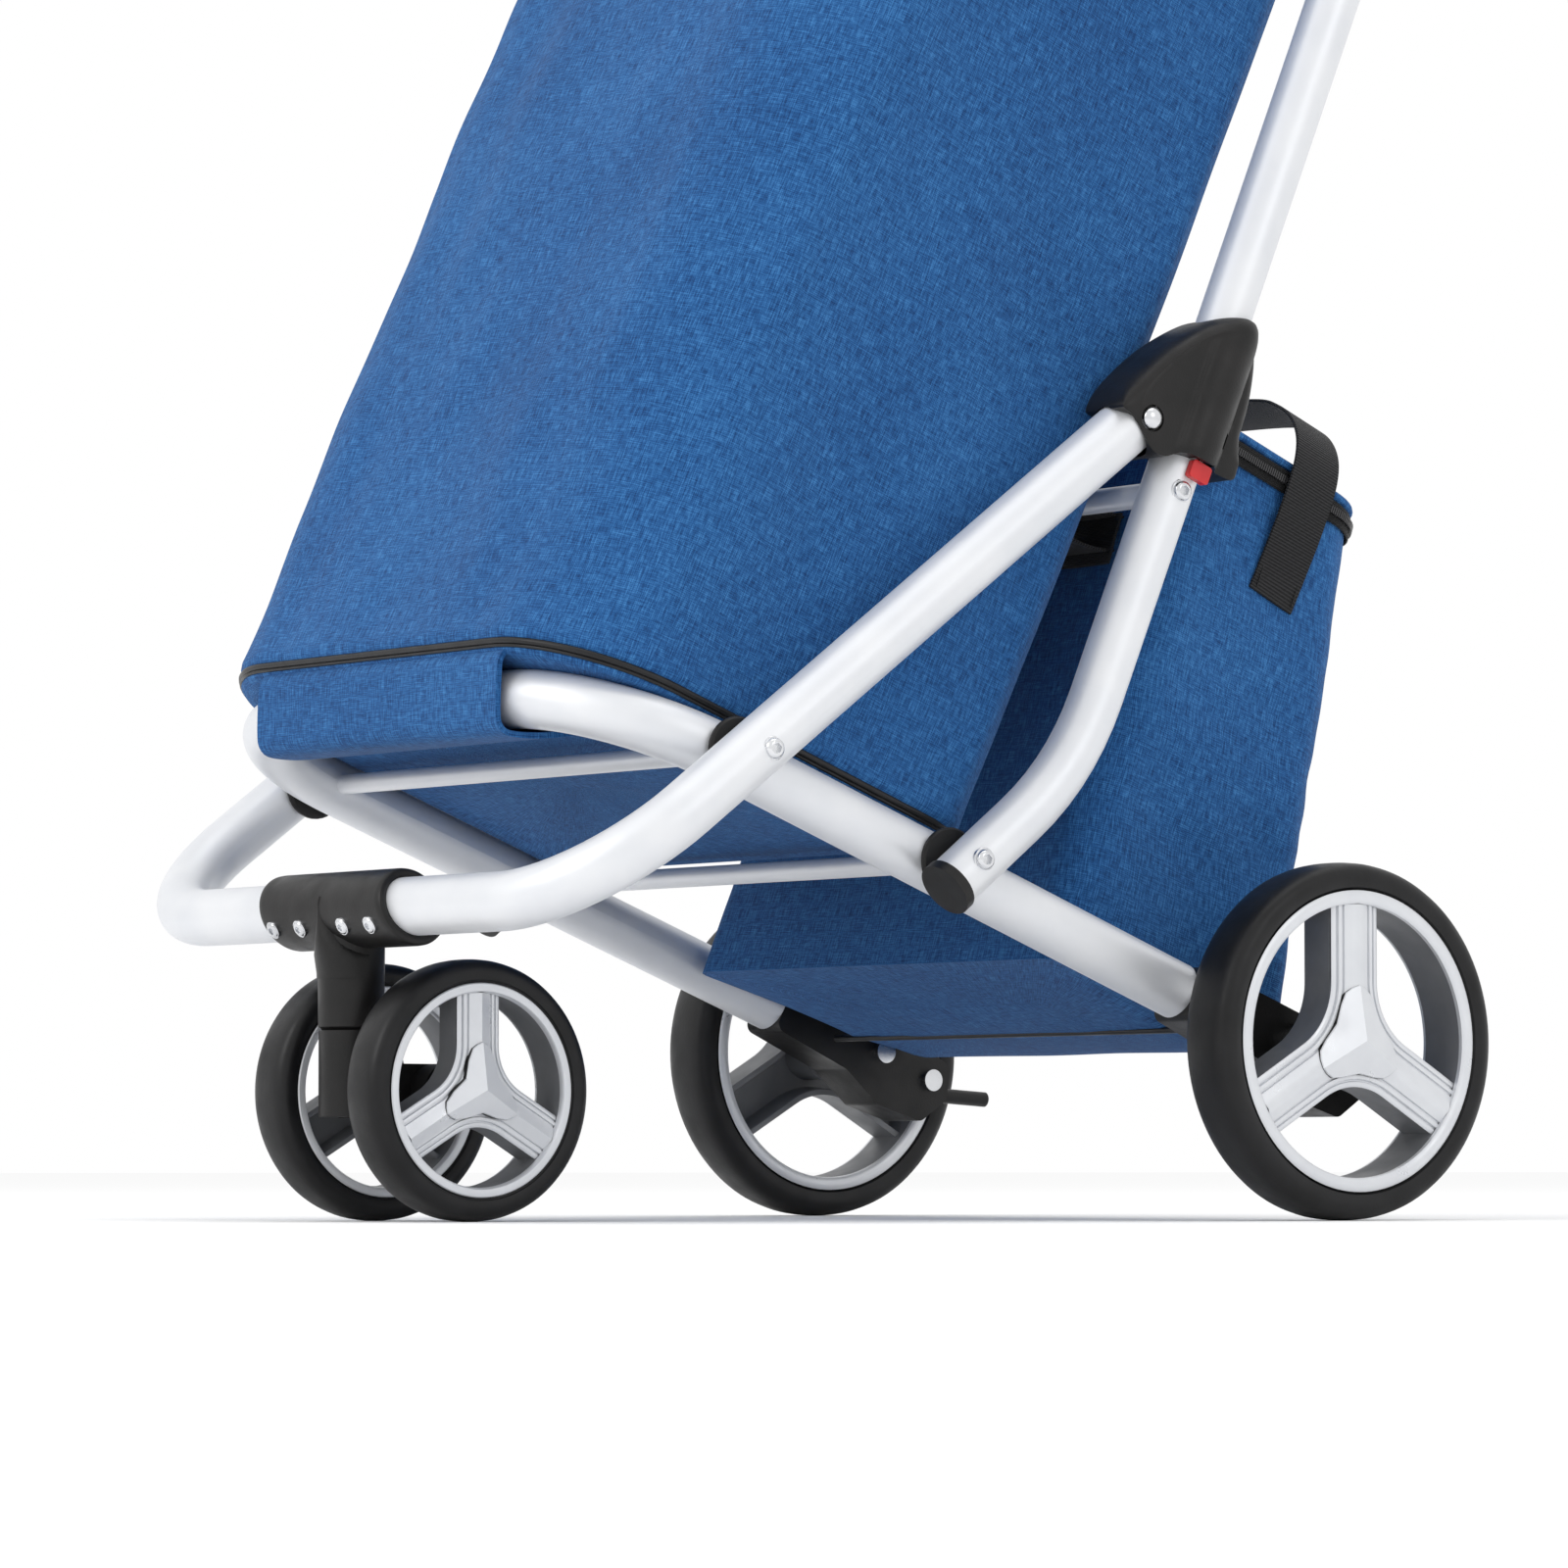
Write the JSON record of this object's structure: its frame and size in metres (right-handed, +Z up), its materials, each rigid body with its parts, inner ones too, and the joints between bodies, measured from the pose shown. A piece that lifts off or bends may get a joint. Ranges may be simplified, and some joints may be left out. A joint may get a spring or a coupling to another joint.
{
  "type": "shopping trolley",
  "caption": "Folding shopping trolley: crossed tube frames, a swivelling twin caster, large rear wheels, a leaning fabric bag and a cooler bag behind.",
  "frame": {"origin": "on the floor, under the middle of the whole object's box", "axes": "+Z up, -Y towards the caster at the front, +X to the right of somebody who looks along +Y"},
  "size_m": [0.4688, 0.6608, 1.027],
  "materials": {
    "silver_tube": "satin silver lacquer",
    "bright_steel": "zinc plated",
    "tyre_rubber": "smooth rubber",
    "silver_plastic": "silver painted plastic",
    "red_plastic": "moulded",
    "blue_fabric": "woven heathered polyester",
    "mesh_fabric": "open mesh",
    "black_webbing": "woven webbing",
    "grip_foam": "soft foam",
    "board": "pressed board",
    "black_plastic": "fine textured moulding"
  },
  "bodies": {
    "base_frame": {"base_tube": "silver_tube", "front_cross_rod": "silver_tube", "rear_cross_rod": "silver_tube", "pivot_spacers": "black_plastic", "axle_bracket_left": "black_plastic", "axle_bracket_right": "black_plastic", "stub_axle_left": "bright_steel", "stub_axle_right": "bright_steel", "bracket_bolts": "bright_steel", "bag_sleeve": "blue_fabric", "bag_base_board": "board"},
    "rear_wheel_left": {"rear_tyre_left": "tyre_rubber", "rear_rim_left": "silver_plastic", "rear_hub_cap_left": "silver_plastic", "rear_bush_left": "black_plastic"},
    "rear_wheel_right": {"rear_tyre_right": "tyre_rubber", "rear_rim_right": "silver_plastic", "rear_hub_cap_right": "silver_plastic", "rear_bush_right": "black_plastic"},
    "handle_frame": {"handle_tube": "silver_tube", "handle_end_caps": "black_plastic", "handle_pivot_bolts": "bright_steel", "handle_crossbar": "silver_tube", "crossbar_bolts": "bright_steel", "handle_grip": "grip_foam", "main_bag": "blue_fabric", "bag_hanger_straps": "black_webbing", "cooler_bag": "blue_fabric", "cooler_pocket": "mesh_fabric", "cooler_hanger_straps": "black_webbing", "cooler_handle_strap": "black_webbing"},
    "bag_lid_flap": {"bag_lid": "blue_fabric"},
    "cooler_lid_flap": {"cooler_lid": "blue_fabric"},
    "runner_pair": {"runner_housing_left": "black_plastic", "runner_housing_right": "black_plastic", "runner_rivets": "bright_steel", "button_spring_left": "bright_steel", "button_spring_right": "bright_steel"},
    "button_left": {"release_button_left": "red_plastic"},
    "button_right": {"release_button_right": "red_plastic"},
    "front_frame": {"front_tube": "silver_tube", "caster_bracket": "black_plastic", "caster_bracket_bolts": "bright_steel", "front_pivot_bolts": "bright_steel"},
    "caster": {"caster_stem": "black_plastic", "caster_kingpin": "bright_steel", "caster_axle": "bright_steel"},
    "front_wheel_left": {"front_tyre_left": "tyre_rubber", "front_rim_left": "silver_plastic", "front_hub_cap_left": "silver_plastic"},
    "front_wheel_right": {"front_tyre_right": "tyre_rubber", "front_rim_right": "silver_plastic", "front_hub_cap_right": "silver_plastic"}
  },
  "joints": [
    {"name": "fold", "type": "hinge", "parent": "base_frame", "child": "handle_frame", "pos_m": [0, -0.08874, 0.1711], "axis": [1, 0, 0], "range_deg": [0, 50], "deforming": ["main_bag"]},
    {"name": "runner_slide", "type": "slide", "parent": "handle_frame", "child": "runner_pair", "axis": [0, 0.3937, 0.9192], "range_m": [0, 0.126]},
    {"name": "front_frame_hinge", "type": "hinge", "parent": "runner_pair", "child": "front_frame", "pos_m": [0, 0.01106, 0.3867], "axis": [1, 0, 0], "range_deg": [0, 10.2]},
    {"name": "caster_swivel", "type": "hinge", "parent": "front_frame", "child": "caster", "pos_m": [0, -0.30744, 0.092], "axis": [0, 0, 1], "continuous": true},
    {"name": "front_wheel_left_spin", "type": "hinge", "parent": "caster", "child": "front_wheel_left", "pos_m": [-0.0415, -0.26794, 0.0625], "axis": [1, 0, 0], "continuous": true},
    {"name": "front_wheel_right_spin", "type": "hinge", "parent": "caster", "child": "front_wheel_right", "pos_m": [0.0415, -0.26794, 0.0625], "axis": [1, 0, 0], "continuous": true},
    {"name": "rear_wheel_left_spin", "type": "hinge", "parent": "base_frame", "child": "rear_wheel_left", "pos_m": [-0.218, 0.12606, 0.0875], "axis": [1, 0, 0], "continuous": true},
    {"name": "rear_wheel_right_spin", "type": "hinge", "parent": "base_frame", "child": "rear_wheel_right", "pos_m": [0.218, 0.12606, 0.0875], "axis": [1, 0, 0], "continuous": true},
    {"name": "button_left_press", "type": "slide", "parent": "runner_pair", "child": "button_left", "axis": [0, 0.3937, 0.9192], "range_m": [0, 0.004], "stiffness_N_per_m": 400, "deforming": ["button_spring_left"]},
    {"name": "button_right_press", "type": "slide", "parent": "runner_pair", "child": "button_right", "axis": [0, 0.3937, 0.9192], "range_m": [0, 0.004], "stiffness_N_per_m": 400, "deforming": ["button_spring_right"]},
    {"name": "bag_lid_open", "type": "hinge", "parent": "handle_frame", "child": "bag_lid_flap", "pos_m": [0, 0.17512, 0.68941], "axis": [-1, 0, 0], "range_deg": [0, 130]},
    {"name": "cooler_lid_open", "type": "hinge", "parent": "handle_frame", "child": "cooler_lid_flap", "pos_m": [0, 0.09246, 0.4006], "axis": [1, 0, 0], "range_deg": [0, 60], "deforming": ["cooler_handle_strap"]}
  ],
  "couplings": [
    {"joint": "runner_slide", "follows": "fold", "m_per_rad": 0.1419},
    {"joint": "front_frame_hinge", "follows": "fold", "ratio": 0.19958}
  ]
}
